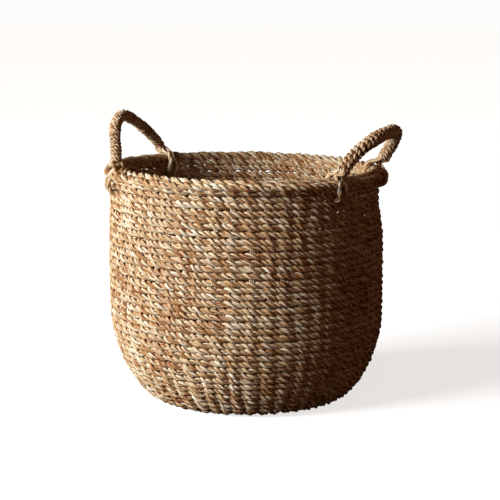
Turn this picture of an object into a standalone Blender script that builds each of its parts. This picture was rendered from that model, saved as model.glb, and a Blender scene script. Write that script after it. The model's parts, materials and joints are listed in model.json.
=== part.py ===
"""Seagrass storage basket, a round twined basket with two rope handles.

The basket stands on z = 0 with its axis on Z and its two handles on +X and -X. Twenty-six flat
stakes run from rim to rim, thirteen along X and thirteen along Y, crossing in two layers on the
base and fanning out on the wall. Twined weft covers them on the outside and the inside. A rolled
border closes the top. Each handle is a doubled rope core in a wound wrap, and hangs by its two end
bights on loops of cord laced through the wall under the border.
"""

import math

import bmesh
import bpy
from mathutils import Matrix, Vector

# Overall sizes, in metres
BODY_HEIGHT = 0.323  # floor to the top of the border
RIM_RADIUS = 0.190  # outer edge of the border
BELLY_BULGE = 0.0030  # how far the wall swells out beyond its top edge
BELLY_HEIGHT = 0.195  # where it does so most
CORNER_REACH = 0.059  # from the wall in to the edge of the flat base
CORNER_HEIGHT = 0.120  # where the rounded corner has become wall
CORNER_FULLNESS = 1.6  # 2 would be an ellipse, less is flatter

# Weave
WEFT_THICKNESS = 0.0038  # the twined cord on one side of the stakes
STAKES_PER_SIDE = 13
STAKE_WIDTH = 0.0060
STAKE_THICKNESS = 0.0032
FIT_GAP = 0.0003  # between pieces that touch
STAKE_BEND = 0.0020  # inside the edge of the flat base, where a stake turns outwards
CORNER_STEPS = 5
WALL_STEPS = 3

# Border
BORDER_WIDTH = 0.0145
BORDER_OVERHANG = 0.0045  # outwards past the wall's outer face
BORDER_DEPTH = 0.0100
BORDER_SQUARENESS = 2.4
BORDER_POINTS = 8

# Handles: a closed rope grommet, wound with cord
HANDLE_RISE = {"left": 0.0750, "right": 0.0795}  # hinge axis to the middle of the rope at the top
HANDLE_SKEW = {"left": 0.0280, "right": -0.0120}  # the top leans along the rim, as laid by hand
HANDLE_SQUARENESS = {"left": 1.45, "right": 2.20}
CORE_STRAND_RADIUS = 0.0022
WRAP_CORD = 0.0013  # the wound cord, where it lies thinnest over the core
WRAP_START = 0.0060  # bare core between the lacing and the wrap
CORE_GAP = 0.0003  # round the core, inside the wrap
HANDLE_STEPS = 20
HANDLE_LEAN = {"left": math.radians(14.0), "right": math.radians(40.0)}  # outward lean of the top at rest
FOOT_LEAN = {  # outward lean where its two legs start
    "left": (math.radians(24.0), math.radians(0.0)),
    "right": (math.radians(30.0), math.radians(32.0)),
}

# Lacing that ties a handle's bights to the wall
FOOT_STAKE_GAPS = {"left": 5.0, "right": 4.0}  # stake spacings from the middle of the handle to its feet
HANDLE_OFFSET = {"left": 0.5, "right": -0.5}  # stake spacings round the rim, to put the feet between stakes
LACING_RADIUS = 0.0018
LACING_PLAY = 0.0004  # between the lacing, the bights and the holes in the weft
LACING_DROP = 0.034  # top of the border to the middle of the lacing at its lowest
LACING_TURN_RADIUS = 0.0080  # of the lacing's bend through the wall
BORDER_CLEARANCE = 0.0009  # between a bight and the border at the foot

# Worked out from the sizes above
STAKES_ROUND = 4 * STAKES_PER_SIDE
STAKE_ANGLE = 2.0 * math.pi / STAKES_ROUND
FACET = 1.0 / math.cos(STAKE_ANGLE / 2.0)  # from the middle of a flat to its corner
WALL_TOP_RADIUS = RIM_RADIUS - BORDER_OVERHANG  # outer face of the wall
BELLY_RADIUS = WALL_TOP_RADIUS + BELLY_BULGE
FOOT_ANGLE = {side: gaps * STAKE_ANGLE for side, gaps in FOOT_STAKE_GAPS.items()}
FACING = {  # the way each handle faces, round Z from +X
    "left": math.pi + HANDLE_OFFSET["left"] * STAKE_ANGLE,
    "right": HANDLE_OFFSET["right"] * STAKE_ANGLE,
}
BORDER_RADIUS = RIM_RADIUS - BORDER_WIDTH / 2.0
BORDER_MID_HEIGHT = BODY_HEIGHT - BORDER_DEPTH / 2.0
WALL_TOP = BODY_HEIGHT - BORDER_DEPTH - FIT_GAP
STAKE_DEPTH = WEFT_THICKNESS + FIT_GAP + STAKE_THICKNESS / 2.0  # outer face of the wall to mid stake
INNER_WEFT_DEPTH = WEFT_THICKNESS + STAKE_THICKNESS + 2.0 * FIT_GAP
SECOND_LAYER = STAKE_THICKNESS + FIT_GAP  # what the crossing layer adds on the base
BIGHT_RADIUS = LACING_RADIUS + LACING_PLAY + CORE_STRAND_RADIUS
WRAP_RADIUS = BIGHT_RADIUS + CORE_STRAND_RADIUS + CORE_GAP + WRAP_CORD
HINGE_REACH = {side: BORDER_RADIUS * math.cos(angle) for side, angle in FOOT_ANGLE.items()}
FOOT_SPREAD = {side: BORDER_RADIUS * math.sin(angle) for side, angle in FOOT_ANGLE.items()}
LACING_ARC_RADIUS = {
    side: BORDER_WIDTH / 2.0 * FACET / math.cos(angle) + BORDER_CLEARANCE + BIGHT_RADIUS + CORE_STRAND_RADIUS
    for side, angle in FOOT_ANGLE.items()
}

# Colours of the dried grass, linear
STRAW = (0.45, 0.29, 0.13)
HUSK = (0.30, 0.17, 0.07)
GREENISH = (0.36, 0.28, 0.12)


def clear_scene():
    for old in list(bpy.data.objects):
        bpy.data.objects.remove(old, do_unlink=True)


def grass(name, colour):
    """Dried seagrass: matt, with no metal in it."""
    material = bpy.data.materials.new(name)
    material.use_nodes = True
    shader = material.node_tree.nodes["Principled BSDF"]
    shader.inputs["Base Color"].default_value = (*colour, 1.0)
    shader.inputs["Roughness"].default_value = 0.75
    shader.inputs["Metallic"].default_value = 0.0
    return material


def add_object(name, bm, colour, parent=None, smooth=False):
    """Turns a finished bmesh into an object with its own material."""
    bmesh.ops.recalc_face_normals(bm, faces=bm.faces)
    mesh = bpy.data.meshes.new(name)
    bm.to_mesh(mesh)
    bm.free()
    if smooth:
        mesh.shade_smooth()
        mesh.set_sharp_from_angle(angle=math.radians(50.0))
    mesh.materials.append(grass(name, colour))
    piece = bpy.data.objects.new(name, mesh)
    piece.parent = parent
    bpy.context.scene.collection.objects.link(piece)
    return piece


def loft(rings, closed):
    """Joins rings of points in order. A closed loft runs back to its first ring, an open one is capped."""
    bm = bmesh.new()
    made = [[bm.verts.new(point) for point in ring] for ring in rings]
    count = len(made[0])
    following = made[1:] + made[:1] if closed else made[1:]
    for ring, after in zip(made, following):
        for i in range(count):
            j = (i + 1) % count
            bm.faces.new((ring[i], ring[j], after[j], after[i]))
    if not closed:
        bm.faces.new(reversed(made[0]))
        bm.faces.new(made[-1])
    return bm


def turned(section):
    """Spins a closed section of (radius, height) points round Z, with a flat over each stake."""
    bm = bmesh.new()
    start = -STAKE_ANGLE / 2.0
    corners = [
        bm.verts.new((r * FACET * math.cos(start), r * FACET * math.sin(start), z)) for r, z in section
    ]
    edges = [bm.edges.new((corners[i - 1], corners[i])) for i in range(len(corners))]
    bmesh.ops.spin(
        bm, geom=corners + edges, cent=(0.0, 0.0, 0.0), axis=(0.0, 0.0, 1.0),
        angle=2.0 * math.pi, steps=STAKES_ROUND, use_merge=True, use_duplicate=False,
    )
    return bm


def wall_radius(z):
    """Outer face of the wall: widest at the belly, drawn in a little towards the border."""
    fall = (z - BELLY_HEIGHT) / (WALL_TOP - BELLY_HEIGHT)
    return BELLY_RADIUS - (BELLY_RADIUS - WALL_TOP_RADIUS) * fall * fall


def outer_profile():
    """(radius, height) of the outer face, from the edge of the flat base up to the border."""
    power = 2.0 / CORNER_FULLNESS
    points = []
    for i in range(CORNER_STEPS):
        turn = math.pi / 2.0 * i / CORNER_STEPS
        radius = BASE_FLAT_RADIUS + CORNER_REACH * math.sin(turn) ** power
        points.append((radius, CORNER_HEIGHT * (1.0 - math.cos(turn) ** power)))
    for i in range(WALL_STEPS + 1):
        z = CORNER_HEIGHT + (WALL_TOP - CORNER_HEIGHT) * i / WALL_STEPS
        points.append((wall_radius(z), z))
    return points


def inward(points):
    """Unit vectors (radius, height) from the outer face towards the inside, one for each profile point."""
    normals = []
    for i in range(len(points)):
        before = points[max(i - 1, 0)]
        after = points[min(i + 1, len(points) - 1)]
        dr, dz = after[0] - before[0], after[1] - before[1]
        length = math.hypot(dr, dz)
        normals.append((-dz / length, dr / length))
    normals[0] = (0.0, 1.0)  # the base is flat there
    normals[-1] = (-1.0, 0.0)  # so that the top edges of the layers are level
    return normals


BASE_FLAT_RADIUS = wall_radius(CORNER_HEIGHT) - CORNER_REACH
PROFILE = outer_profile()
NORMALS = inward(PROFILE)


def second_layer_share(i):
    """How much of the base's second stake layer lies under profile point i, from 1 at the base to 0."""
    up = min(i / CORNER_STEPS, 1.0)
    return 1.0 - up * up * (3.0 - 2.0 * up)


def at_depth(i, depth):
    """Profile point i, moved inwards."""
    return PROFILE[i][0] + NORMALS[i][0] * depth, PROFILE[i][1] + NORMALS[i][1] * depth


def weft_section(outer_depths):
    """One weft layer's section: out along its outer face, back along its inner face."""
    outer = [at_depth(i, depth) for i, depth in enumerate(outer_depths)]
    inner = [at_depth(i, depth + WEFT_THICKNESS) for i, depth in enumerate(outer_depths)]
    # Its lower edge keeps clear of the base's disc
    outer[0] = (outer[0][0] + FIT_GAP, outer[0][1])
    inner[0] = (inner[0][0] + FIT_GAP, inner[0][1])
    return outer + inner[::-1]


def build_base_weft(name, bottom, colour):
    """A flat twined disc: an even-sided plate with the stakes' flats."""
    bm = bmesh.new()
    bmesh.ops.create_cone(
        bm, cap_ends=True, cap_tris=False, segments=STAKES_ROUND,
        radius1=BASE_FLAT_RADIUS * FACET, radius2=BASE_FLAT_RADIUS * FACET, depth=WEFT_THICKNESS,
    )
    for vert in bm.verts:
        angle = (round(math.atan2(vert.co.y, vert.co.x) / STAKE_ANGLE) + 0.5) * STAKE_ANGLE
        vert.co.x = BASE_FLAT_RADIUS * FACET * math.cos(angle)
        vert.co.y = BASE_FLAT_RADIUS * FACET * math.sin(angle)
        vert.co.z += bottom + WEFT_THICKNESS / 2.0
    return add_object(name, bm, colour)


def build_wall_weft(name, second_face, colour):
    """The wall's twining on one side of the stakes. The inner one makes room for the base's second layer."""
    depths = []
    for i in range(len(PROFILE)):
        depth = INNER_WEFT_DEPTH + second_layer_share(i) * SECOND_LAYER if second_face else 0.0
        depths.append(depth)
    return add_object(name, turned(weft_section(depths)), colour, smooth=True)


def stake_rings(angle, upper):
    """Rectangles along a stake that crosses the base parallel to X, from its -X end to its +X end."""

    def rectangle(middle, wide, thick):
        return [middle - wide - thick, middle + wide - thick, middle + wide + thick, middle - wide + thick]

    half_width = STAKE_WIDTH / 2.0
    half_thick = STAKE_THICKNESS / 2.0
    rings = []
    for side in (-1.0, 1.0):
        out = Vector((side * math.cos(angle), math.sin(angle), 0.0))
        across = Vector((-side * math.sin(angle), math.cos(angle), 0.0))
        one_side = []
        for i in range(len(PROFILE)):
            depth = STAKE_DEPTH + (SECOND_LAYER * second_layer_share(i) if upper else 0.0)
            radius, height = at_depth(i, depth)
            middle = out * radius + Vector((0.0, 0.0, height))
            thick = (out * NORMALS[i][0] + Vector((0.0, 0.0, NORMALS[i][1]))) * half_thick
            wide = across * half_width
            if i == 0:  # on the flat base, mitred where it turns from straight across to outwards
                bend = middle - out * STAKE_BEND
                mitre = (across + Vector((0.0, 1.0, 0.0))).normalized() * half_width / math.cos(angle / 2.0)
                one_side.append(rectangle(bend, mitre, thick))
            one_side.append(rectangle(middle, wide, thick))
        rings += one_side[::-1] if side < 0.0 else one_side
    return rings


def build_stakes():
    """Thirteen stakes in each direction, the Y ones over the X ones on the base."""
    middle = (STAKES_PER_SIDE - 1) / 2.0
    for number in range(STAKES_PER_SIDE):
        angle = (number - middle) * STAKE_ANGLE
        rings = stake_rings(angle, upper=False)
        add_object(f"stake_x_{number + 1:02d}", loft(rings, closed=False), GREENISH)
        rings = [[Vector((-p.y, p.x, p.z)) for p in ring] for ring in stake_rings(angle, upper=True)]
        add_object(f"stake_y_{number + 1:02d}", loft(rings, closed=False), GREENISH)


def build_border():
    """The rolled border: a ring with a rounded, slightly flat section."""
    power = 2.0 / BORDER_SQUARENESS
    section = []
    for i in range(BORDER_POINTS):
        turn = 2.0 * math.pi * (i + 0.5) / BORDER_POINTS
        c, s = math.cos(turn), math.sin(turn)
        r = BORDER_RADIUS + BORDER_WIDTH / 2.0 * math.copysign(abs(c) ** power, c)
        z = BORDER_MID_HEIGHT + BORDER_DEPTH / 2.0 * math.copysign(abs(s) ** power, s)
        section.append((r, z))
    highest = max(z for _, z in section)
    section = [(r, z + BODY_HEIGHT - highest) if z > BORDER_MID_HEIGHT else (r, z) for r, z in section]
    return add_object("rim_border", turned(section), STRAW, smooth=True)


def lacing_path(side):
    """(outward, up) points round a handle's lacing loop, seen from the foot's place on the hinge axis.

    The top is an arc round the hinge axis, which the bight slides along. The bottom is a tighter turn
    through the wall, and straight runs join the two.
    """
    low = BODY_HEIGHT - LACING_DROP
    turn_height = low + LACING_TURN_RADIUS
    middle_radius = wall_radius(turn_height) - (INNER_WEFT_DEPTH + WEFT_THICKNESS) / 2.0
    turn_x = math.sqrt(middle_radius**2 - FOOT_SPREAD[side] ** 2) - HINGE_REACH[side]
    turn_z = turn_height - BORDER_MID_HEIGHT
    apart = math.hypot(turn_x, turn_z)
    # Both straight runs touch the two circles, this far from the line between the centres
    arc_radius = LACING_ARC_RADIUS[side]
    spread = math.acos((arc_radius - LACING_TURN_RADIUS) / apart)
    down = math.atan2(turn_z, turn_x)
    points = []
    steps = 12
    for i in range(steps + 1):
        a = down + spread + (2.0 * math.pi - 2.0 * spread) * i / steps
        points.append((arc_radius * math.cos(a), arc_radius * math.sin(a)))
    steps = 6
    for i in range(steps + 1):
        a = down - spread + 2.0 * spread * i / steps
        points.append((
            turn_x + LACING_TURN_RADIUS * math.cos(a),
            turn_z + LACING_TURN_RADIUS * math.sin(a),
        ))
    return points


def lacing_loop(side, foot_side, radius):
    """The lofted loop of cord at one foot, with a given cord radius."""
    path = lacing_path(side)
    facing = Matrix.Rotation(FACING[side], 3, "Z")
    count = len(path)
    rings = []
    for i in range(count):
        before, after = path[i - 1], path[(i + 1) % count]
        along = Vector((after[0] - before[0], after[1] - before[1])).normalized()
        across = Vector((-along.y, along.x))
        ring = []
        for corner in range(6):
            a = math.pi / 3.0 * corner
            x = path[i][0] + across.x * radius * math.cos(a)
            z = path[i][1] + across.y * radius * math.cos(a)
            y = radius * math.sin(a)
            ring.append(
                facing
                @ Vector((HINGE_REACH[side] + x, foot_side * FOOT_SPREAD[side] + y, BORDER_MID_HEIGHT + z))
            )
        rings.append(ring)
    return loft(rings, closed=True)


FEET = (  # name, handle, and the foot's side as seen from the handle
    ("lacing_left_front", "left", 1.0),
    ("lacing_left_back", "left", -1.0),
    ("lacing_right_front", "right", -1.0),
    ("lacing_right_back", "right", 1.0),
)


def build_lacings(wefts):
    """Four loops of cord, and the holes between the wefts' strands that they run through."""
    for name, side, foot_side in FEET:
        add_object(name, lacing_loop(side, foot_side, LACING_RADIUS), HUSK, smooth=True)
        cutter = add_object(name + "_hole", lacing_loop(side, foot_side, LACING_RADIUS + LACING_PLAY), HUSK)
        cutter.hide_render = True
        cutter.display_type = "WIRE"
        for weft in wefts:
            cut = weft.modifiers.new(name + "_hole", "BOOLEAN")
            cut.operation = "DIFFERENCE"
            cut.solver = "EXACT"
            cut.object = cutter


def handle_stations(side):
    """Middle of the rope with its two cross directions, at even steps from the -Y foot to the +Y foot.

    Each station is (point, in the handle's plane, out of the plane), seen from the middle of the hinge axis.
    """
    power = 2.0 / HANDLE_SQUARENESS[side]
    first_lean, last_lean = FOOT_LEAN[side]

    def place(turn):
        rise = max(math.sin(turn), 0.0) ** power
        cosine = math.cos(turn)
        share = math.copysign(abs(cosine) ** power, cosine)  # from 1 at the -Y foot to -1 at the +Y foot
        along = HANDLE_SKEW[side] * rise * rise * (3.0 - 2.0 * rise) - FOOT_SPREAD[side] * share
        foot_lean = first_lean * (1.0 + share) / 2.0 + last_lean * (1.0 - share) / 2.0
        angle = foot_lean + (HANDLE_LEAN[side] - foot_lean) * rise
        far = LACING_ARC_RADIUS[side] + (HANDLE_RISE[side] - LACING_ARC_RADIUS[side]) * rise
        return Vector((far * math.sin(angle), along, far * math.cos(angle))), angle

    fine = 400
    raw = [place(math.pi * i / fine) for i in range(fine + 1)]
    run = [0.0]
    for i in range(fine):
        run.append(run[-1] + (raw[i + 1][0] - raw[i][0]).length)
    stations = []
    for step in range(HANDLE_STEPS + 1):
        wanted = run[-1] * step / HANDLE_STEPS
        i = min(max(k for k in range(fine + 1) if run[k] <= wanted + 1e-9), fine - 1)
        share = (wanted - run[i]) / (run[i + 1] - run[i])
        point = raw[i][0].lerp(raw[i + 1][0], share)
        angle = raw[i][1] + (raw[i + 1][1] - raw[i][1]) * share
        along = (raw[min(i + 2, fine)][0] - raw[max(i - 1, 0)][0]).normalized()
        if step in (0, HANDLE_STEPS):
            up = Vector((math.sin(angle), 0.0, math.cos(angle)))
            along = up if step == 0 else -up
        out = Vector((math.cos(angle), 0.0, -math.sin(angle)))
        flat = along.cross(out).normalized()
        stations.append((point, flat, flat.cross(along).normalized()))
    return stations


def ring_round(middle, first, second, radius, sides):
    """Points round a cord's section."""
    turns = [2.0 * math.pi * i / sides for i in range(sides)]
    return [middle + (first * math.cos(a) + second * math.sin(a)) * radius for a in turns]


def build_handle_core(side, hinge):
    """One closed loop of rope: along the outside of the arch, round a bight, back along the inside."""
    stations = handle_stations(side)
    bight_steps = 4
    rings = []
    for leg in (1.0, -1.0):
        ordered = stations if leg > 0.0 else stations[::-1]
        for point, flat, out in ordered:
            middle = point + flat * BIGHT_RADIUS * leg
            rings.append(ring_round(middle, flat * leg, out, CORE_STRAND_RADIUS, 6))
        point, flat, out = ordered[-1]
        beyond = (flat.cross(out) * leg).normalized()
        for i in range(1, bight_steps):
            turn = math.pi * i / bight_steps
            ray = flat * leg * math.cos(turn) - beyond * math.sin(turn)
            rings.append(ring_round(point + ray * BIGHT_RADIUS, ray, out, CORE_STRAND_RADIUS, 6))
    return add_object(f"handle_{side}_core", loft(rings, closed=True), HUSK, parent=hinge, smooth=True)


def build_handle_wrap(side, hinge):
    """The wound cord, as one sleeve: round outside, with a slot inside that fits the doubled core."""
    stations = handle_stations(side)
    foot_up, foot_down = stations[0][0], stations[-1][0]
    kept = [
        station for station in stations
        if min((station[0] - foot_up).length, (station[0] - foot_down).length) > WRAP_START
    ]
    sides = 10
    slot_radius = (CORE_STRAND_RADIUS + CORE_GAP) / math.cos(math.pi / 6.0)
    outer, inner = [], []
    for point, flat, out in kept:
        outer.append(ring_round(point, flat, out, WRAP_RADIUS, sides))
        slot = []
        for i in range(sides):
            a = 2.0 * math.pi * i / sides
            shift = math.copysign(BIGHT_RADIUS, math.cos(a)) if abs(math.cos(a)) > 1e-6 else 0.0
            slot.append(point + flat * (shift + slot_radius * math.cos(a)) + out * slot_radius * math.sin(a))
        inner.append(slot)
    sleeve = loft(outer + inner[::-1], closed=True)
    return add_object(f"handle_{side}_wrap", sleeve, STRAW, parent=hinge, smooth=True)


def build_handle(side):
    """A handle under an empty that sits on its hinge axis, turned to face outwards."""
    facing, reach = FACING[side], HINGE_REACH[side]
    hinge = bpy.data.objects.new(f"handle_{side}_hinge", None)
    hinge.location = (reach * math.cos(facing), reach * math.sin(facing), BORDER_MID_HEIGHT)
    hinge.rotation_euler = (0.0, 0.0, facing)
    bpy.context.scene.collection.objects.link(hinge)
    build_handle_core(side, hinge)
    build_handle_wrap(side, hinge)


def build_basket():
    clear_scene()
    build_base_weft("base_weft_under", 0.0, HUSK)
    build_base_weft("base_weft_upper", INNER_WEFT_DEPTH + SECOND_LAYER, STRAW)
    outer = build_wall_weft("wall_weft_outer", False, STRAW)
    inner = build_wall_weft("wall_weft_inner", True, HUSK)
    build_stakes()
    build_border()
    build_lacings((outer, inner))
    for side in FACING:
        build_handle(side)


build_basket()
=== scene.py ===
# %% [markdown]
# # A seagrass storage basket
# This lesson dresses a finished CAD model of a round twined basket. The CAD model has plain solids
# for the wall, the base, the border and the two rope handles. Every strand that the eye can follow
# is added here as a real cord, because a woven thing looks right only when its shadows fall between
# real strands.

# %% Load the frame
import json
import math

import bmesh
import bpy
import numpy as np
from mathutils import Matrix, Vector


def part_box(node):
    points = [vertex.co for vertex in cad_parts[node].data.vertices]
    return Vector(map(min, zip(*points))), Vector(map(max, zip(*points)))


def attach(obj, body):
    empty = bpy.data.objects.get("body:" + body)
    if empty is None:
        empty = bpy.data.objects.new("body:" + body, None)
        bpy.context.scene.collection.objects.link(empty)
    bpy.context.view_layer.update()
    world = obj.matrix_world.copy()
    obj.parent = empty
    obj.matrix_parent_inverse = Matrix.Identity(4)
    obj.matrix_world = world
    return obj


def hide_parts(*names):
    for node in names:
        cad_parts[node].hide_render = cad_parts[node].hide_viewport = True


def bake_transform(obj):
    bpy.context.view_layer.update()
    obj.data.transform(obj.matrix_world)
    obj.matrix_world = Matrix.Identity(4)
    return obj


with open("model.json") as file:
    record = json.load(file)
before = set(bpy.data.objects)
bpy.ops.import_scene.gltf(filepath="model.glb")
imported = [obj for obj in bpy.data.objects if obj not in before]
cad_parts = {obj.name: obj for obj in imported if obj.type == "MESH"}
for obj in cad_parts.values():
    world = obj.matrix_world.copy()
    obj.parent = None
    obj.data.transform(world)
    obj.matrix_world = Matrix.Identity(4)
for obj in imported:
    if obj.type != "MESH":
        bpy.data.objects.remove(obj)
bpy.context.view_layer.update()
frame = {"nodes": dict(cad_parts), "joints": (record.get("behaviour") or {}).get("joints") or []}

# %% [markdown]
# ## Sizes read from the frame
# The places come from the CAD nodes: the border gives the rim, the outer weft gives the wall's
# outline, and the joints give the handles' axes. A few cord sizes can't be read from a solid, so
# they are named here.

# %% Sizes
_, rim_high = (Vector(c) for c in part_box("rim_border"))
_, outer_high = (Vector(c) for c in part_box("wall_weft_outer"))
stake_low, stake_high = (Vector(c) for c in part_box("stake_x_07"))
upper_stake_low, _ = (Vector(c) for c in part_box("stake_y_07"))

STAKES = 52  # round the wall
STAKE_THICKNESS = 0.0032
ROW_PITCH = 0.0087  # one row of twining
RIM_RADIUS = rim_high.x
BODY_HEIGHT = rim_high.z
STAKE_COVER = outer_high.x - stake_high.x + STAKE_THICKNESS / 2.0  # the wall's outer face to mid stake
LAYER_STEP = upper_stake_low.z - stake_low.z  # between the base's two layers of stakes
print("rim radius", round(RIM_RADIUS, 4), "height", round(BODY_HEIGHT, 4))
print("mid stake depth", round(STAKE_COVER, 4))

# %% [markdown]
# ## The wall's outline
# The outer weft's solid is convex from the flat base up to its top edge. So the outline is the
# convex hull of its corners, drawn as radius against height. A smooth curve through those few
# points is what a basket maker would feel with a hand run down the wall.

# %% Outline of the wall
def node_corners(name):
    """The corners of a CAD node as an array of places."""
    mesh = frame["nodes"][name].data
    places = np.empty(len(mesh.vertices) * 3, np.float32)
    mesh.vertices.foreach_get("co", places)
    return places.reshape(-1, 3).astype(float)


def convex_outline(points):
    """The right-hand side of the convex hull of (radius, height) points, from the lowest to the highest."""
    chain = []
    for p in sorted(points, key=lambda q: (q[1], -q[0])):
        while len(chain) > 1:
            (ax, az), (bx, bz) = chain[-2], chain[-1]
            if (bx - ax) * (p[1] - az) - (bz - az) * (p[0] - ax) > 1e-9:
                break
            chain.pop()
        chain.append(p)
    return chain


corners = node_corners("wall_weft_outer")
flat_share = math.cos(math.pi / STAKES)
radii = np.hypot(corners[:, 0], corners[:, 1]) * flat_share
low_enough = {(round(float(r), 4), round(float(z), 4)) for r, z in zip(radii, corners[:, 2])}
outline = np.array(convex_outline(low_enough))
print("outline points", [tuple(p) for p in outline.round(4)])


def smooth_through(points, per_span=24):
    """A smooth curve through points (Catmull-Rom), as many more points."""
    before = 2.0 * points[0] - points[1]
    after = 2.0 * points[-1] - points[-2]
    p = np.vstack([before, points, after])
    t = np.linspace(0.0, 1.0, per_span, endpoint=False)[:, None]
    spans = []
    for a, b, c, d in zip(p[:-3], p[1:-2], p[2:-1], p[3:]):
        square = 2 * a - 5 * b + 4 * c - d
        cube = 3 * b - a - 3 * c + d
        spans.append(0.5 * (2 * b + (c - a) * t + square * t**2 + cube * t**3))
    return np.vstack(spans + [points[-1:]])


def runs(path):
    """How far along a path each of its points is."""
    return np.concatenate([[0.0], np.cumsum(np.linalg.norm(np.diff(path, axis=0), axis=1))])


# %% [markdown]
# ## The middle of the wall
# Everything is woven round the stakes, so their middle surface is what all cords are placed from.
# It lies one cord's depth inside the outline, and on the base it lies deeper, between the two
# crossing layers of stakes. It is kept as one path from the border down the wall, round the corner
# and in to the middle of the base.

# %% Path of the middle surface
CORNER_TOP = 0.120  # the depth for the base's two crossing layers fades out up to this height

wall = smooth_through(outline)
slope = np.gradient(wall, axis=0)
slope /= np.linalg.norm(slope, axis=1, keepdims=True)
outward = np.stack([slope[:, 1], -slope[:, 0]], axis=1)
height_share = np.clip(wall[:, 1] / CORNER_TOP, 0.0, 1.0)
base_share = 1.0 - height_share**2 * (3.0 - 2.0 * height_share)
depth = STAKE_COVER + base_share * LAYER_STEP / 2.0
middle = wall - outward * depth[:, None]
base_edge = middle[0]
across = np.linspace(0.0, base_edge[0], 60, endpoint=False)
base = np.stack([across, np.full_like(across, base_edge[1])], axis=1)
path = np.vstack([base, middle])[::-1]
path_run = runs(path)
path_slope = np.gradient(path, axis=0)
path_slope /= np.linalg.norm(path_slope, axis=1, keepdims=True)
path_base_share = np.concatenate([np.ones(len(base)), base_share])[::-1]
print("wall and base, border to middle", round(path_run[-1], 4), "m")


def on_path(run):
    """Radius, height, outward normal, downhill slope and share of base, so far down from the border."""
    run = np.asarray(run, float)
    r, z = (np.interp(run, path_run, path[:, k]) for k in (0, 1))
    dr, dz = (np.interp(run, path_run, path_slope[:, k]) for k in (0, 1))
    share = np.interp(run, path_run, path_base_share)
    return r, z, -dz, dr, dr, dz, share


# %% [markdown]
# ## Settling
# No hand-made basket is quite round. This small shift, of up to five millimetres, is added to every
# piece of the body, so the pieces stay together. The wall waves a little, the bottom has crept to
# one side, the wall is drawn in under the border on that side, and the border is pulled up on the
# other side.

# %% Hand-made shape
CREEP = 0.0040  # of the bottom
CREEP_TURN = math.radians(19.0)  # the way it has crept
CREEP_SHARE = 0.55  # of the height, above which the wall stands where it was
NECK = 0.0050  # the wall is drawn in under the border on that side
NECK_HEIGHT = 0.278
NECK_SPAN = 0.030
RIM_LIFT = 0.0050  # the border has been pulled up a little on the other side
INNERMOST = 0.02  # inside this radius the outward waves die out

# Each wave has a size, a count round the basket, a start and a change over the height, both in
# radians.
SIDEWAYS_WAVES = ((0.010, 7, 0.0, 5.0), (0.012, 11, 1.3, -9.0), (0.008, 23, 0.4, 13.0))  # sizes in radians
OUTWARD_WAVES = ((0.0010, 2, 0.6, 2.0), (0.0007, 5, 1.9, -3.0))  # sizes in metres


def waves_at(waves, angle, height):
    """The sum of some waves at angles round the basket and shares of its height."""
    return sum(size * np.sin(count * angle + start + climb * height) for size, count, start, climb in waves)


def settle(places):
    """Moves places a little, as the basket has settled."""
    p = np.array(places, float)
    angle = np.arctan2(p[:, 1], p[:, 0])
    radius = np.hypot(p[:, 0], p[:, 1])
    height = p[:, 2] / BODY_HEIGHT
    stray = waves_at(SIDEWAYS_WAVES, angle, height)
    stray = stray * np.clip(radius / RIM_RADIUS, 0.0, 1.0) * np.clip(4.0 - 4.0 * height, 0.0, 1.0)
    angle = angle + stray
    p[:, 0], p[:, 1] = radius * np.cos(angle), radius * np.sin(angle)
    reach = np.clip(radius / RIM_RADIUS, 0.0, 1.0) ** 2
    wave = waves_at(OUTWARD_WAVES, angle, height)
    pinched = np.exp(-(((p[:, 2] - NECK_HEIGHT) / NECK_SPAN) ** 2))
    wave = wave - NECK * pinched * np.clip(np.cos(angle - CREEP_TURN), 0.0, 1.0)
    grow = 1.0 + reach * wave / np.maximum(radius, INNERMOST)
    low = np.clip(1.0 - height / CREEP_SHARE, 0.0, 1.0)
    low = low * low * (3.0 - 2.0 * low)
    other_side = (1.0 - np.cos(angle - CREEP_TURN)) / 2.0
    p[:, 2] += RIM_LIFT * reach * np.clip(height, 0.0, 1.0) ** 4 * other_side**2
    p[:, 0] = p[:, 0] * grow + CREEP * low * math.cos(CREEP_TURN)
    p[:, 1] = p[:, 1] * grow + CREEP * low * math.sin(CREEP_TURN)
    return p


# %% [markdown]
# ## Turning a path into a cord
# A cord is a curve with a round bevel. Once the curve is right, it is made a mesh, because only a
# mesh can carry the two UV maps that it needs. The first map, `strand`, is in metres along and
# round the cord, so grass fibres can be drawn at their real width. The second lays the same faces
# out in neat strips for baking.

# %% Cord maker
BEVEL_RESOLUTION = 1
CORD_SIDES = 4 + 2 * BEVEL_RESOLUTION
FIBRE_STEP = 1.37  # metres along the grass pattern from one cord of a piece to the next
PATTERN_LENGTH = 50.0
STRIP_FILL = 0.90  # of its height that a cord covers in its strip for baking


def make_cords(name, paths, radius, closed, thickness, fibre_offset):
    """One mesh piece of round cords. paths are arrays of places, with a thickness factor for each place."""
    curve = bpy.data.curves.new(name, "CURVE")
    curve.dimensions = "3D"
    curve.bevel_depth = radius
    curve.bevel_resolution = BEVEL_RESOLUTION
    curve.resolution_u = 1
    for k, places in enumerate(paths):
        spline = curve.splines.new("POLY")
        spline.points.add(len(places) - 1)
        spline.use_cyclic_u = closed
        spline.points.foreach_set("co", np.column_stack([places, np.ones(len(places))]).ravel())
        spline.points.foreach_set("radius", np.asarray(thickness[k], float))
    maker = bpy.data.objects.new(name + "_curve", curve)
    bpy.context.scene.collection.objects.link(maker)
    seen = maker.evaluated_get(bpy.context.evaluated_depsgraph_get())
    mesh = bpy.data.meshes.new_from_object(seen)
    mesh.name = name
    bpy.data.objects.remove(maker)
    bpy.data.curves.remove(curve)
    map_cords(mesh, paths, radius, closed, fibre_offset)
    mesh.shade_smooth()
    piece = bpy.data.objects.new(name, mesh)
    bpy.context.scene.collection.objects.link(piece)
    return piece


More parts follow.
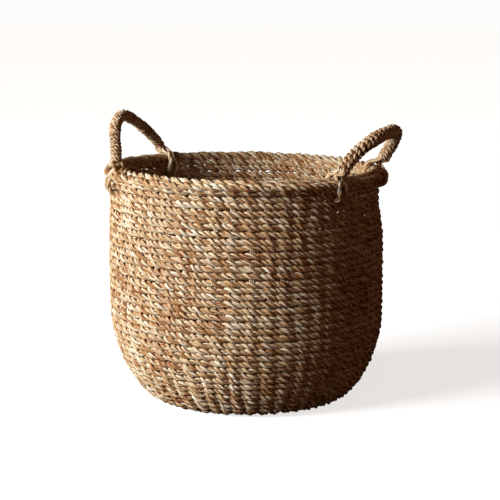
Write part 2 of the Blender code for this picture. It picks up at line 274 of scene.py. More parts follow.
def map_cords(mesh, paths, radius, closed, fibre_offset):
    """Gives the cords' faces, which come ring by ring, their two UV maps."""
    girth = 2.0 * math.pi * radius
    lengths = [runs(p)[-1] for p in paths]
    pieces_each = max(1, round(math.sqrt(np.mean(lengths) / (len(paths) * girth))))
    rows = len(paths) * pieces_each
    strand, bake = [], []
    for k, places in enumerate(paths):
        spans = len(places) if closed else len(places) - 1
        ring, side = np.divmod(np.arange(spans * CORD_SIDES), CORD_SIDES)
        side = np.where(side == 0, CORD_SIDES, side)
        u = np.stack([ring, ring + 1, ring + 1, ring], axis=1) / spans
        v = np.stack([side, side, side - 1, side - 1], axis=1) / CORD_SIDES
        shift = (fibre_offset + k * FIBRE_STEP) % PATTERN_LENGTH
        strand.append(np.stack([u * lengths[k] + shift, v * girth + shift], axis=2))
        cut = np.floor(ring * pieces_each / spans)[:, None]
        row = k * pieces_each + cut
        strip = row + (1.0 - STRIP_FILL) / 2.0 + STRIP_FILL * v
        bake.append(np.stack([u * pieces_each - cut, strip / rows], axis=2))
    while mesh.uv_layers:
        mesh.uv_layers.remove(mesh.uv_layers[0])
    for layer_name, layer in (("OFBake", bake), ("strand", strand)):
        made = mesh.uv_layers.new(name=layer_name, do_init=False)
        made.uv.foreach_set("vector", np.concatenate(layer).astype(np.float32).ravel())


# %% [markdown]
# ## Colours
# Colours are given as sRGB hex values, as a colour picker shows them, and turned to linear light by
# one function. One small helper adds a shader node with its settings and its links.

# %% Colour and node helpers
def colour(hex_value):
    """#rrggbb as linear RGBA."""
    parts = [int(hex_value[i : i + 2], 16) / 255.0 for i in (1, 3, 5)]
    return (*(c / 12.92 if c <= 0.04045 else ((c + 0.055) / 1.055) ** 2.4 for c in parts), 1.0)


def add(tree, kind, settings=None, **links):
    """Adds a shader node. settings are its own properties, and links its inputs, by name or as i0, i1."""
    node = tree.nodes.new("ShaderNode" + kind)
    for key, value in (settings or {}).items():
        setattr(node, key, value)
    for key, value in links.items():
        by_index = key[0] == "i" and key[1:].isdigit()
        socket = node.inputs[int(key[1:]) if by_index else key.replace("_", " ")]
        if isinstance(value, bpy.types.NodeSocket):
            tree.links.new(value, socket)
        else:
            socket.default_value = value
    return node


def ramp(tree, factor, stops):
    """A colour ramp with (position, hex colour) stops."""
    node = add(tree, "ValToRGB", Fac=factor)
    elements = node.color_ramp.elements
    while len(elements) < len(stops):
        elements.new(0.5)
    for element, (position, hex_value) in zip(elements, stops):
        element.position = position
        element.color = colour(hex_value)
    return node.outputs["Color"]


# %% [markdown]
# ## Dried seagrass
# Seagrass is cut, dried and twisted by hand. Each blade is 1 to 3 mm wide with fine lengthwise
# ribs, and it dries to straw, olive or red-brown, often changing along its length. So the colour
# has three layers: a slow change along each strand, streaks a blade wide, and ribs a fraction of a
# millimetre wide that also feed the bump. It is matt, with a slight waxy shine where blades lie
# flat.

# %% Seagrass material
BLADE_WIDTH = 0.0014
RIB_WIDTH = 0.0004
BLADE_LENGTH = 0.030
PATCHES = 28.0  # slow changes in a metre of strand
BATCHES = 14.0  # changes in a metre of basket, from one bundle of grass to another
ROUGHNESS = 0.62
RIB_HEIGHT = 0.00022
BLADE_TONE = 1.7  # how much each layer moves the tone along the colour ramp
PATCH_TONE = 0.9
RIB_TONE = 0.50
BATCH_TONE = 0.20
BLADE_START = -0.75  # this and the next bring the layers' sum back to the middle of the ramp
TONE_DROP = 0.33


def seagrass(name, stops, blade_width=BLADE_WIDTH):
    """Twisted dried grass. stops run from the darkest dried blade to the palest."""
    material = bpy.data.materials.new(name)
    material.use_nodes = True
    tree = material.node_tree
    tree.nodes.clear()
    along = add(tree, "UVMap", {"uv_map": "strand"}).outputs["UV"]
    blade_scale = (1.0 / BLADE_LENGTH, 1.0 / blade_width, 1.0)
    rib_scale = (1.0 / BLADE_LENGTH, 1.0 / RIB_WIDTH, 1.0)
    blades_at = add(tree, "Mapping", Vector=along, Scale=blade_scale).outputs["Vector"]
    ribs_at = add(tree, "Mapping", Vector=along, Scale=rib_scale).outputs["Vector"]
    patches_at = add(tree, "Mapping", Vector=along, Scale=(PATCHES, PATCHES, 1.0)).outputs["Vector"]
    blades = add(tree, "TexNoise", Vector=blades_at, Scale=1.0, Detail=2.0, Roughness=0.55).outputs["Fac"]
    ribs = add(tree, "TexNoise", Vector=ribs_at, Scale=1.0, Detail=1.0, Roughness=0.5).outputs["Fac"]
    patches = add(tree, "TexNoise", Vector=patches_at, Scale=1.0, Detail=2.0, Roughness=0.6).outputs["Fac"]
    place = add(tree, "TexCoord").outputs["Object"]
    batch = add(tree, "TexNoise", Vector=place, Scale=BATCHES, Detail=1.0).outputs["Fac"]
    tone = BLADE_START
    layers = ((blades, BLADE_TONE), (patches, PATCH_TONE), (ribs, RIB_TONE), (batch, BATCH_TONE))
    for layer, weight in layers:
        sum_node = add(tree, "Math", {"operation": "MULTIPLY_ADD"}, i0=layer, i1=weight, i2=tone)
        tone = sum_node.outputs["Value"]
    tone = add(tree, "Math", {"operation": "SUBTRACT"}, i0=tone, i1=TONE_DROP).outputs["Value"]
    base_colour = ramp(tree, tone, stops)
    relief = add(tree, "Math", {"operation": "MULTIPLY_ADD"}, i0=blades, i1=1.4, i2=ribs).outputs["Value"]
    bump = add(tree, "Bump", Height=relief, Strength=0.8, Distance=RIB_HEIGHT)
    shader = add(tree, "BsdfPrincipled", Base_Color=base_colour, Roughness=ROUGHNESS)
    tree.links.new(bump.outputs["Normal"], shader.inputs["Normal"])
    shader.inputs["Specular IOR Level"].default_value = 0.35
    shader.inputs["IOR"].default_value = 1.45
    output = add(tree, "OutputMaterial")
    tree.links.new(shader.outputs["BSDF"], output.inputs["Surface"])
    return material


weft_grass = seagrass("twisted seagrass weft", [
    (0.05, "#43190a"), (0.27, "#8a4a22"), (0.48, "#bb8c58"), (0.68, "#dac5a0"), (0.92, "#ece4d4"),
])
border_grass = seagrass("rolled seagrass border", [
    (0.05, "#4d220c"), (0.27, "#8c5226"), (0.48, "#bf945f"), (0.68, "#dac5a0"), (0.92, "#ece4d4"),
], blade_width=0.0016)
stake_grass = seagrass("straight seagrass stakes", [
    (0.10, "#8a6538"), (0.40, "#c8ab84"), (0.62, "#dccbae"), (0.90, "#e9e1d2"),
])
rope_grass = seagrass("seagrass handle rope", [
    (0.05, "#4d220c"), (0.27, "#8c542a"), (0.48, "#bd9263"), (0.68, "#d8c2a0"), (0.92, "#e8decd"),
], blade_width=0.0013)

# %% [markdown]
# ## Rows of twining
# Two cords twine round the stakes together. At each stake one passes in front while the other
# passes behind, and between stakes they change places with half a turn. That makes each cord's path
# a stretched helix with one turn for every two stakes. Each cord is itself two plies twisted
# together, about one turn for each stake, and that twist makes the slanting lobes that cover the
# basket.

# %% Rows on the wall
rng = np.random.default_rng(52)
PLY_RADIUS = 0.00232
PLY_UP = 0.00245  # the plies' turn round the cord's middle, along the wall and through it
PLY_THROUGH = 0.0018
CORD_COVER = 0.0012  # a cord's middle stands this far off the stake's face
CROSSING_UP = 0.0010  # a cord moves up or down by this much where the two change places
CROSSING_SWELL = 0.05  # a ply's factor of thickness where it shows
SECOND_START = 1.3  # radians between the two cords' twists
TWISTS = 52  # one for each stake
TOP_SHIFT = 0.0022  # the first row lies this much nearer the border
FIRST_ROW = 0.4  # of a row's height under the border
BASE_LIFT = 0.0028  # keeps the plies under the base off the floor's level
BASE_THROUGH = 0.8  # of the base's layers that the cords swing across
POINTS_PER_STAKE = 9
ROW_WANDER = 0.00040
ROW_WAVE = 0.0007  # three slow waves in each row
LUMPS = 0.10  # share of a cord's size that it wanders by
LARGEST_NOISE = 1.8  # times its usual size
ROW_FIBRES = 5.3  # metres along the grass pattern from one row to the next


def slow_noise(count, size):
    """Smooth random values, count of them round a row, of about that size."""
    limit = LARGEST_NOISE * size
    knots = np.clip(rng.normal(0.0, size, count + 1), -limit, limit)
    knots[-1] = knots[0]
    return knots


def row_plies(run, stakes, twists, wander):
    """The four plies of one row, as arrays of places, with their thickness."""
    points = stakes * POINTS_PER_STAKE
    angle = np.linspace(0.0, 2.0 * math.pi, points, endpoint=False)
    turn_share = angle / (2.0 * math.pi)
    drift = np.interp(turn_share * stakes, np.arange(stakes + 1), slow_noise(stakes, wander))
    down = run + drift + ROW_WAVE * np.sin(3 * angle + rng.uniform(0.0, 6.0))
    r, z, nr, nz, dr, dz, share = on_path(down)
    z = z + BASE_LIFT * share
    bulge = np.interp(turn_share * stakes, np.arange(stakes + 1), slow_noise(stakes, LUMPS)) + 1.0
    through = (STAKE_THICKNESS / 2.0 + CORD_COVER) * bulge + share * LAYER_STEP / 2.0 * BASE_THROUGH
    paths, thick = [], []
    start = rng.uniform(0.0, 2.0 * math.pi)
    for cord in range(2):
        swing = stakes * angle / 2.0 + cord * math.pi
        cord_through = through * np.cos(swing)
        cord_up = -CROSSING_UP * np.sin(swing)
        for ply in range(2):
            twist = twists * angle + ply * math.pi + start + cord * SECOND_START
            off = cord_through + PLY_THROUGH * np.cos(twist)
            up = cord_up - PLY_UP * np.sin(twist)
            radius = r + nr * off - dr * up
            height = z + nz * off - dz * up
            paths.append(settle(np.stack([radius * np.cos(angle), radius * np.sin(angle), height], axis=1)))
            lumps = slow_noise(2 * stakes, LUMPS)
            lumps = np.interp(turn_share * stakes * 2, np.arange(2 * stakes + 1), lumps)
            thick.append(1.0 + lumps + CROSSING_SWELL * np.abs(np.sin(swing)))
    return paths, thick


base_radii = path[::-1][: len(base) + 1, 0]
base_runs = path_run[::-1][: len(base) + 1]
wall_run = float(np.interp(base_edge[0] + 1e-6, base_radii, base_runs))
row_count = int(wall_run / ROW_PITCH)
weave = []
for row in range(row_count):
    run = (row + FIRST_ROW) * wall_run / row_count - TOP_SHIFT * (1.0 - row / row_count)
    plies, thick = row_plies(run, STAKES, TWISTS, ROW_WANDER)
    name = f"wall_row_{row + 1:02d}"
    weave.append(make_cords(name, plies, PLY_RADIUS, True, thick, row * ROW_FIBRES))
print(row_count, "rows on the wall,", round(wall_run / row_count * 1000, 2), "mm apart")

# %% [markdown]
# ## The base
# The base is twined in rings over the crossed stakes. Towards the middle a ring is shorter, so it
# has fewer crossings at about the same spacing. The smallest ring goes round the very middle and
# leaves a small hole.

# %% Rings on the base
BASE_CROSSING = 0.0165  # along a ring, from one crossing to the next
BASE_WANDER = 0.0003
BASE_FIBRES = 400.0  # where the rings start on the grass pattern
LEAST_CROSSINGS = 4

base_run = path_run[-1] - wall_run
ring_count = int(base_run / ROW_PITCH)
base_rings = []
for ring in range(ring_count):
    run = wall_run + (ring + 0.5) * base_run / ring_count
    radius = float(on_path(run)[0])
    stakes = max(LEAST_CROSSINGS, 2 * round(radius * math.pi / BASE_CROSSING))
    plies, thick = row_plies(run, stakes, stakes + 1, BASE_WANDER)
    name = f"base_ring_{ring + 1:02d}"
    base_rings.append(make_cords(name, plies, PLY_RADIUS, True, thick, BASE_FIBRES + ring * ROW_FIBRES))
print(ring_count, "rings on the base")

for piece in weave:
    piece.data.materials.append(weft_grass)
    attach(piece, "basket")
    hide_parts("wall_weft_outer", "wall_weft_inner")
for piece in base_rings:
    piece.data.materials.append(weft_grass)
    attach(piece, "basket")
    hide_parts("base_weft_under", "base_weft_upper")

# %% [markdown]
# ## Stakes
# Each stake is a flat bundle of three straight rolled blades. It shows only as pale upright flecks
# between the rows, but without it the holes beside the lobes would look empty.

# %% Stakes
STAKES_ACROSS = STAKES // 4  # each long stake makes two of the wall's, and they lie in two directions
BLADE_RADIUS = 0.0015
BLADE_SPACING = 1.3  # blade radii
WALL_TURN = 20.0  # how quickly a stake turns flat to the wall, once it leaves the base
STAKE_FIBRES = 700.0  # where the stakes start on the grass pattern
STAKE_FIBRE_STEP = 3.1
END_TAPER = 0.02  # factor of thickness at an open cord's ends


def tapered(count):
    """Thickness factors for an open cord of so many points, closed at both ends."""
    factors = np.ones(count)
    factors[[0, -1]] = END_TAPER
    return factors


def stake_path(angle, layer):
    """Middle line of a stake that crosses the base parallel to X, from its -X end to its +X end."""
    run = np.linspace(0.0, wall_run, 44)
    r, z, nr, nz, _, _, share = on_path(run)
    off = layer * share * LAYER_STEP / 2.0
    r, z = r + nr * off, z + nz * off
    right = np.stack([r * math.cos(angle), r * math.sin(angle), z], axis=1)
    left = right * [-1.0, 1.0, 1.0]
    inner = np.linspace(left[-1], right[-1], 14)[1:-1]
    return np.vstack([left, inner, right[::-1]])


for letter, layer in (("x", 1.0), ("y", -1.0)):
    for number in range(STAKES_ACROSS):
        line = stake_path((number - STAKES_ACROSS // 2) * 2.0 * math.pi / STAKES, layer)
        round_wall = np.stack([-line[:, 1], line[:, 0], 0.0 * line[:, 2]], axis=1) * np.sign(line[:, :1])
        round_wall /= np.linalg.norm(round_wall, axis=1, keepdims=True)
        past_base = np.hypot(line[:, 0], line[:, 1]) / base_edge[0] - 1.0
        wall_share = np.clip(past_base * WALL_TURN, 0.0, 1.0)[:, None]
        straight = np.array([[0.0, 1.0, 0.0]])
        side = straight * (1.0 - wall_share) + round_wall * wall_share
        side /= np.linalg.norm(side, axis=1, keepdims=True)
        blades = [line + side * BLADE_RADIUS * BLADE_SPACING * k for k in (-1, 0, 1)]
        if letter == "y":
            blades = [b[:, [1, 0, 2]] * [-1.0, 1.0, 1.0] for b in blades]
        blades = [settle(b) for b in blades]
        name = f"stalks_{letter}_{number + 1:02d}"
        offset = STAKE_FIBRES + number * STAKE_FIBRE_STEP + layer
        piece = make_cords(name, blades, BLADE_RADIUS, False, [tapered(len(line))] * 3, offset)
        piece.data.materials.append(stake_grass)
        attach(piece, "basket")
        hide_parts(f"stake_{letter}_{number + 1:02d}")

# %% [markdown]
# ## The rolled border
# The stake ends are turned down and bound into a thick roll that runs round the top. Its strands
# slant, so its outline is scalloped. It is two fat strands laid round a ring, and each of them is
# two bundles of blades side by side.

# %% Border
BORDER_PLY = 0.0031
BORDER_SWING = 0.0029  # of a strand's middle round the roll's middle
BORDER_FLATTEN = 1.15  # the roll is this much wider than tall
BORDER_TURNS = 38
BORDER_STRANDS = 2
BORDER_INSET = 0.0050  # the roll is set in from the CAD border's outside by this much
BORDER_SINK = 0.8  # ply radii from a strand's highest middle up to the CAD border's top
BUNDLE_SPREAD = 0.80  # radians between a strand's two bundles
BUNDLE_SIZE = 0.74  # of the border's ply
BORDER_WOBBLE = 0.0005  # of a strand, in and out and up and down
BORDER_WANDER = 0.0004  # of a bundle's swing
BORDER_LUMPS = 0.12  # share of a bundle's size
BORDER_POINTS = STAKES * 16
BORDER_FIBRES = 900.0  # where the border starts on the grass pattern
border_mid_radius = RIM_RADIUS - BORDER_SWING - BORDER_PLY - BORDER_INSET
border_mid_height = rim_high.z - BORDER_SWING - BORDER_PLY * BORDER_SINK
angle = np.linspace(0.0, 2.0 * math.pi, BORDER_POINTS, endpoint=False)


def round_border(count, size):
    """Slow random values at each of the border's points, count of them round it."""
    return np.interp(angle / (2 * math.pi) * count, np.arange(count + 1), slow_noise(count, size))


border_paths, border_thick = [], []
for strand in range(BORDER_STRANDS):
    wobble = round_border(40, BORDER_WOBBLE)
    for bundle in range(2):
        turn = BORDER_TURNS * angle + strand * 2.0 * math.pi / BORDER_STRANDS
        turn = turn + (bundle - 0.5) * BUNDLE_SPREAD
        swing = BORDER_SWING + round_border(70, BORDER_WANDER)
        r = border_mid_radius + BORDER_FLATTEN * swing * np.cos(turn) + wobble
        h = border_mid_height - swing * np.sin(turn) + wobble
        border_paths.append(settle(np.stack([r * np.cos(angle), r * np.sin(angle), h], axis=1)))
        border_thick.append(BUNDLE_SIZE + round_border(60, BORDER_LUMPS))
border = make_cords("border_roll", border_paths, BORDER_PLY, True, border_thick, BORDER_FIBRES)
border.data.materials.append(border_grass)
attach(border, "basket")
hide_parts("rim_border")
print("border roll", len(border.data.polygons), "faces")

# %% [markdown]
# ## Handles
# A handle is a rope bent into an arch. Its middle line follows the CAD handle's within a few
# millimetres: it rises from its two feet, leans outwards, and its top is laid a little to one side.
# The frame's joints give the hinge axis.

# %% Middle line of a handle
STAKE_ANGLE = 2.0 * math.pi / STAKES
# facing is the way a handle stands. gaps counts the stakes' spaces from its middle to a foot. rise is
# its height over the hinge, and skew is how far its top is laid to one side. fullness is 2 for half an
# ellipse and less for a more pointed arch. lean is its top's and feet are its two ends', in degrees
# outwards of upright.
HANDLES = {
    "left": {"gaps": 5.0, "facing": math.pi + 0.5 * STAKE_ANGLE, "rise": 0.0750, "skew": 0.0280,
             "fullness": 1.45, "lean": 14.0, "feet": (24.0, 0.0)},
    "right": {"gaps": 4.0, "facing": -0.5 * STAKE_ANGLE, "rise": 0.0768, "skew": -0.0120,
              "fullness": 2.00, "lean": 39.0, "feet": (30.0, 33.0)},
}
hinges = {j["name"].split("_")[1]: Vector(j["pos_m"]) for j in frame["joints"]}
HINGE_RADIUS = 0.18275  # of the two feet from the basket's middle
FOOT_RISE = 0.0160  # the rope's ends stand this far over the hinge
EXTRA_POINTS = 60  # for each end where a rope is made longer


def handle_line(side, points=600, extend=0.0):
    """Middle of the rope, even steps from its -Y foot to its +Y foot, with the two directions across it."""
    shape = HANDLES[side]
    power = 2.0 / shape["fullness"]
    turn = np.linspace(0.0, math.pi, 4000)
    rise = np.clip(np.sin(turn), 0.0, 1.0) ** power
    share = np.sign(np.cos(turn)) * np.abs(np.cos(turn)) ** power
    along = shape["skew"] * rise**2 * (3.0 - 2.0 * rise)
    along -= HINGE_RADIUS * math.sin(shape["gaps"] * STAKE_ANGLE) * share
    first, last = (math.radians(f) for f in shape["feet"])
    foot_lean = first * (1.0 + share) / 2.0 + last * (1.0 - share) / 2.0
    tilt = foot_lean + (math.radians(shape["lean"]) - foot_lean) * rise
    far = FOOT_RISE + (shape["rise"] - FOOT_RISE) * rise
    line = np.stack([far * np.sin(tilt), along, far * np.cos(tilt)], axis=1)
    if extend > 0.0:
        steps = np.linspace(extend, 0.0, EXTRA_POINTS, endpoint=False)[:, None]
        ups = [np.array([math.sin(f), 0.0, math.cos(f)]) for f in (first, last)]
        line = np.vstack([line[0] - ups[0] * steps, line, (line[-1] - ups[1] * steps)[::-1]])
        tilt = np.concatenate([np.full(EXTRA_POINTS, first), tilt, np.full(EXTRA_POINTS, last)])
    run = runs(line)
    even = np.linspace(0.0, run[-1], points)
    line = np.stack([np.interp(even, run, line[:, k]) for k in range(3)], axis=1)
    tilt = np.interp(even, run, tilt)
    forward = np.gradient(line, axis=0)
    forward /= np.linalg.norm(forward, axis=1, keepdims=True)
    out = np.stack([np.cos(tilt), 0.0 * tilt, -np.sin(tilt)], axis=1)
    flat = np.cross(forward, out)
    flat /= np.linalg.norm(flat, axis=1, keepdims=True)
    out = np.cross(flat, forward)
    c, n = math.cos(shape["facing"]), math.sin(shape["facing"])
    turned = np.array([[c, n, 0.0], [-n, c, 0.0], [0.0, 0.0, 1.0]])
    return line @ turned + np.array(hinges[side]), flat @ turned, out @ turned, even


# %% [markdown]
# ## Twisted cord along any path
# Every visible cord of the handles is two plies twisted together. This helper takes the cord's
# middle line with two directions across it and gives the two plies.

# %% Two plies
def frame_along(line):
    """Two directions across a path that turn as little as they can."""
    forward = np.gradient(line, axis=0)
    forward /= np.linalg.norm(forward, axis=1, keepdims=True)
    side = np.cross(forward[0], [0.31, 0.59, 0.74])
    sides = []
    for f in forward:
        side = side - f * np.dot(side, f)
        side = side / np.linalg.norm(side)
        sides.append(side)
    sides = np.array(sides)
    return sides, np.cross(forward, sides)


def two_ply(line, period, apart, start=0.0):
    """The two plies of a cord, apart from its middle line and turning once every period."""
    first, second = frame_along(line)
    turn = 2.0 * math.pi * runs(line) / period + start
    ray = first * np.cos(turn)[:, None] + second * np.sin(turn)[:, None]
    return [line + apart * ray, line - apart * ray]


# %% [markdown]
# ## Wound cord
# The rope is wound with two-ply cord, one turn every five to seven millimetres. A hand never winds
# quite evenly, so the pitch, the radius and the plies' thickness all wander a little. The winding
# is drawn in at both ends, where it meets the strands of the foot. Inside it runs a rope of three
# strands laid together.

# %% Handle wraps
WRAP_PITCH = {"left": 0.0051, "right": 0.0066}  # from one turn of the cord to the next
WRAP_PLY = {"left": 0.00150, "right": 0.00185}
WRAP_APART = 0.7  # ply radii from the cord's middle to a ply's
WRAP_TWIST = 0.0105  # one turn of the plies round each other
WRAP_OUTER = {"left": 0.0082, "right": 0.0096}  # radius of the wound handle
WRAP_EXTEND = 0.0050  # the winding goes this far down past the rope's ends
WRAP_UNEVEN = 0.16  # radians that the winding runs ahead or behind
WRAP_SWELL = 0.00035  # that the winding's radius wanders by
WRAP_SLANT = 0.0011  # each turn lies this much askew
WRAP_LUMPS = 0.10  # share of a ply's size that it wanders by
WRAP_POINTS = 36  # in one turn
END_PINCH = 0.0012  # the winding is drawn in by this much at both ends
END_SPAN = 0.007
WRAP_FIBRES = 1100.0  # where the winding starts on the grass pattern
CORE_STRANDS = 3
CORE_RADIUS = 0.0026  # of a strand, and of the strands' turn round the rope's middle
CORE_TURN = 0.032  # one turn of the strands round each other
CORE_FIBRES = 1200.0
for side in ("left", "right"):
    line, flat, out, even = handle_line(side, points=1100, extend=WRAP_EXTEND)
    length = even[-1]
    turns = int(length / WRAP_PITCH[side])
    s = np.linspace(0.0, length, turns * WRAP_POINTS)
    centre, n1, n2 = (
        np.stack([np.interp(s, even, a[:, k]) for k in range(3)], axis=1) for a in (line, flat, out)
    )
    uneven = np.interp(s / length * 24, np.arange(25), rng.normal(0.0, WRAP_UNEVEN, 25))
    pinch = np.exp(-((s / END_SPAN) ** 2)) + np.exp(-(((length - s) / END_SPAN) ** 2))
    turn = 2.0 * math.pi * (turns * s / length + uneven)
    swell = rng.normal(0.0, WRAP_SWELL, turns + 1)
    swell = np.interp(s / length * turns, np.arange(turns + 1), swell)
    ply_radius = WRAP_PLY[side]
    apart = WRAP_APART * ply_radius
    rho = (WRAP_OUTER[side] - ply_radius - apart + swell - END_PINCH * pinch)[:, None]
    tilt = WRAP_SLANT * np.sin(turn + 1.0)[:, None] * np.cross(n1, n2)
    coil = centre + rho * (n1 * np.cos(turn)[:, None] + n2 * np.sin(turn)[:, None]) + tilt
    paths = two_ply(coil, WRAP_TWIST, apart)
    thick = []
    for ply in range(2):
        lumps = rng.normal(0.0, WRAP_LUMPS, 2 * turns + 1)
        factors = 1.0 + np.interp(s / length * turns * 2, np.arange(2 * turns + 1), lumps)
        factors[[0, -1]] = END_TAPER
        thick.append(factors)
    wrap = make_cords(f"wound_cord_{side}", paths, ply_radius, False, thick, WRAP_FIBRES)
    wrap.data.materials.append(rope_grass)
    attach(wrap, f"handle_{side}")
    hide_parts(f"handle_{side}_wrap")

    line, flat, out, even = handle_line(side, points=260)
    paths = []
    for strand in range(CORE_STRANDS):
        turn = 2.0 * math.pi * (even / CORE_TURN + strand / CORE_STRANDS)
        paths.append(line + CORE_RADIUS * (flat * np.cos(turn)[:, None] + out * np.sin(turn)[:, None]))
    thick = [tapered(len(line))] * CORE_STRANDS
    core = make_cords(f"core_rope_{side}", paths, CORE_RADIUS, False, thick, CORE_FIBRES)
    core.data.materials.append(rope_grass)
    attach(core, f"handle_{side}")
    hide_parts(f"handle_{side}_core")
    print(side, "handle", turns, "turns of cord over", round(length, 3), "m")

# %% [markdown]
# ## Feet of the handles
# Below the winding the rope's strands spread, cross the border outside and inside, and go through
# the wall three or four rows down. Their lower ends lie in the wall and their upper ends along the
# rope. They are made once where the handle stands and are attached to neither the basket nor the handle.

# %% Strands over the border
FOOT_PLY = 0.0023
FOOT_APART = 0.0011  # from a strand's middle to a ply's
FOOT_TWIST = 0.0240  # one turn of the plies round each other
FOOT_LUMPS = 0.15  # share of a ply's size, in a slow wave along it
FOOT_WAVE = 9.0  # radians of that wave in a strand
FOOT_DEPTH = 0.030  # the strands go through the wall this far under the border's top
FOOT_FIBRES = 1300.0  # where the strands start on the grass pattern
FOOT_FIBRE_STEP = 7.0
# The places a strand goes through. By the wall and by the border they are out, aside and up, from
# the wall's middle and from the border's face. On the leg they are along it, out and aside.
BY_WALL = ((0.0010, 0.0050, 0.001), (0.0105, 0.0030, 0.002), (0.0150, 0.0060, 0.012))
BY_BORDER = ((0.0045, 0.0036, -0.007), (-0.0020, 0.0028, 0.0030))
ON_LEG = ((0.002, 0.0070, 0.0036), (0.012, 0.0020, 0.0024))


def foot_strands(side, last_foot):
    """Middle lines of the strands at one foot: two outside the wall and two inside it."""
    line, *_ = handle_line(side, extend=WRAP_EXTEND)
    if last_foot:
        line = line[::-1]
    run = runs(line)
    turn = HANDLES[side]["gaps"] * STAKE_ANGLE * (1.0 if last_foot else -1.0)
    foot_angle = HANDLES[side]["facing"] + turn
    away = np.array([math.cos(foot_angle), math.sin(foot_angle), 0.0])
    around = np.array([-math.sin(foot_angle), math.cos(foot_angle), 0.0])
    low = BODY_HEIGHT - FOOT_DEPTH
    up = np.array([0.0, 0.0, 1.0])
    wall_middle = float(np.interp(BODY_HEIGHT - low, path_run, path[:, 0]))
    strands = []
    for face in (1.0, -1.0):
        for lean in (-1.0, 1.0):
            over = border_mid_radius + face * (BORDER_SWING + BORDER_PLY + FOOT_PLY)
            places = []
            for start_at, level, route in ((wall_middle, low, BY_WALL), (over, BODY_HEIGHT, BY_BORDER)):
                for out, aside, rise in route:
                    place = away * (start_at + face * out) + around * lean * aside + up * (level + rise)
                    places.append(place)
            for along, out, aside in ON_LEG:
                leg = np.array([np.interp(along, run, line[:, k]) for k in range(3)])
                places.append(leg + away * face * out + around * lean * aside)
            strands.append(smooth_through(np.array(places), per_span=10))
    return strands


for side in ("left", "right"):
    for place, last_foot in (("front", side == "left"), ("back", side == "right")):
        strands = foot_strands(side, last_foot)
        plies, thick = [], []
        for strand in strands:
            for ply in two_ply(strand, FOOT_TWIST, FOOT_APART, start=rng.uniform(0.0, 6.0)):
                wave = np.linspace(0.0, FOOT_WAVE, len(ply)) + rng.uniform(0.0, 6.0)
                factors = 1.0 + FOOT_LUMPS * np.sin(wave)
                factors[[0, -1]] = END_TAPER
                plies.append(ply)
                thick.append(factors)
        name = f"foot_strands_{side}_{place}"
        offset = FOOT_FIBRES + FOOT_FIBRE_STEP * last_foot
        piece = make_cords(name, plies, FOOT_PLY, False, thick, offset)
        piece.data.materials.append(rope_grass)
        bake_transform(piece)
        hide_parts(f"lacing_{side}_{place}")

# %% [markdown]
# ## Studio
# One wide soft light stands on the left, in front and above, with hardly any fill, so that the wall
# runs from bright straw on the left to deep brown on the right and every lobe has its own shadow.
# The floor and the backdrop are pale to the camera, but they throw little light back up.

# %% Floor
FLOOR_SIZE = 20.0
FLOOR_COLOUR = "#fbfaf8"
FLOOR_BOUNCE = "#4c3c30"  # what the basket sees of the floor
FLOOR_GLOW = 0.80  # near the basket, so its shadow still shows
FAR_GLOW = 1.00
GLOW_NEAR = 0.4  # distances between which the glow grows
GLOW_FAR = 3.5


def stage_floor(name, size, hex_value, glow, bounce):
    """A pale floor that the camera sees at full strength, and that lights other things only a little."""
    bm = bmesh.new()
    bmesh.ops.create_grid(bm, x_segments=1, y_segments=1, size=size)
    mesh = bpy.data.meshes.new(name)
    bm.to_mesh(mesh)
    bm.free()
    sheet = bpy.data.objects.new(name, mesh)
    bpy.context.scene.collection.objects.link(sheet)
    material = bpy.data.materials.new(name)
    material.use_nodes = True
    tree = material.node_tree
    tree.nodes.clear()
    seen = add(tree, "LightPath").outputs["Is Camera Ray"]
    place = add(tree, "TexCoord").outputs["Object"]
    far = add(tree, "VectorMath", {"operation": "LENGTH"}, i0=place).outputs["Value"]
    lift = add(tree, "MapRange", Value=far, From_Min=GLOW_NEAR, From_Max=GLOW_FAR)
    lift.inputs["To Min"].default_value = glow
    lift.inputs["To Max"].default_value = FAR_GLOW
    pale = add(tree, "BsdfPrincipled", Base_Color=colour(hex_value), Roughness=0.9)
    tree.links.new(lift.outputs["Result"], pale.inputs["Emission Strength"])
    pale.inputs["Emission Color"].default_value = colour(hex_value)
    dim = add(tree, "BsdfDiffuse", Color=colour(bounce))
    mixed = add(tree, "MixShader", i0=seen, i1=dim.outputs["BSDF"], i2=pale.outputs["BSDF"])
    tree.links.new(mixed.outputs["Shader"], add(tree, "OutputMaterial").inputs["Surface"])
    mesh.materials.append(material)


stage_floor("studio_floor", FLOOR_SIZE, FLOOR_COLOUR, FLOOR_GLOW, FLOOR_BOUNCE)


# %% Lights and camera
CAMERA_TURN = math.radians(19.0)
CAMERA_DISTANCE = 2.133
CAMERA_HEIGHT = 0.562
CAMERA_TILT = math.radians(9.82)  # downwards
CAMERA_LENS = 112.1  # millimetres, on a sensor 36 wide
CAMERA_SHIFT = (0.0088, 0.0172)
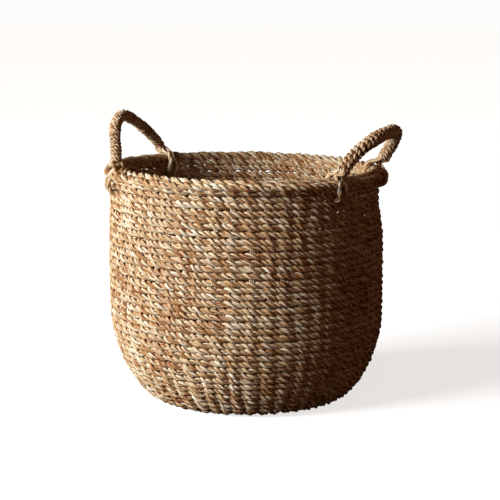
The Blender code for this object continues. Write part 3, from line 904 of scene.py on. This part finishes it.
# Each light stands at a turn to the left of the camera in degrees, at a distance and a height.
KEY_PLACE = (62.0, 2.6, 1.05)
KEY_SIZE = (1.9, 0.7)
KEY_WATTS = 142.0
KEY_COLOUR = "#eff6ff"
FILL_PLACE = (-45.0, 2.4, 0.8)
FILL_SIZE = (1.2, 1.2)
FILL_WATTS = 4.6
FILL_COLOUR = "#ffc09c"
LIGHT_TARGET = Vector((0.0, 0.0, 0.19))
SKY_SEEN = "#fdfcfb"  # the backdrop, as the camera sees it
SKY_BOUNCE = "#ffc296"  # the backdrop, as it lights the basket
SKY_STRENGTH = 0.028
CONTRAST_GAMMA = 0.86  # under 1 deepens the middle tones


def soft_light(name, place, size, watts, hex_value):
    lamp = bpy.data.lights.new(name, "AREA")
    lamp.shape = "RECTANGLE"
    lamp.size, lamp.size_y = size
    lamp.energy = watts
    lamp.color = colour(hex_value)[:3]
    holder = bpy.data.objects.new(name, lamp)
    holder.location = place
    holder.rotation_euler = (LIGHT_TARGET - place).to_track_quat("-Z", "Y").to_euler()
    bpy.context.scene.collection.objects.link(holder)


def around_camera(turn, distance, height):
    """A place at a turn to the left of the camera, seen from the basket."""
    a = CAMERA_TURN - math.radians(turn)
    return Vector((math.sin(a) * distance, -math.cos(a) * distance, height))


soft_light("key", around_camera(*KEY_PLACE), KEY_SIZE, KEY_WATTS, KEY_COLOUR)
soft_light("fill", around_camera(*FILL_PLACE), FILL_SIZE, FILL_WATTS, FILL_COLOUR)

world = bpy.data.worlds.new("studio")
bpy.context.scene.world = world
world.use_nodes = True
tree = world.node_tree
tree.nodes.clear()
seen = add(tree, "LightPath").outputs["Is Camera Ray"]
white = add(tree, "Background", Color=colour(SKY_SEEN), Strength=1.0)
warm = add(tree, "Background", Color=colour(SKY_BOUNCE), Strength=SKY_STRENGTH)
mixed = add(tree, "MixShader", i0=seen, i1=warm.outputs["Background"], i2=white.outputs["Background"])
tree.links.new(mixed.outputs["Shader"], add(tree, "OutputWorld").inputs["Surface"])

camera_data = bpy.data.cameras.new("camera")
camera_data.lens = CAMERA_LENS
camera_data.sensor_width = 36.0
camera_data.clip_end = 30.0
camera = bpy.data.objects.new("camera", camera_data)
camera.location = around_camera(0.0, CAMERA_DISTANCE, CAMERA_HEIGHT)
camera.rotation_euler = (math.radians(90.0) - CAMERA_TILT, 0.0, CAMERA_TURN)
camera_data.shift_x, camera_data.shift_y = CAMERA_SHIFT
bpy.context.scene.collection.objects.link(camera)
bpy.context.scene.camera = camera
bpy.context.scene.view_settings.view_transform = "Standard"
bpy.context.scene.view_settings.gamma = CONTRAST_GAMMA
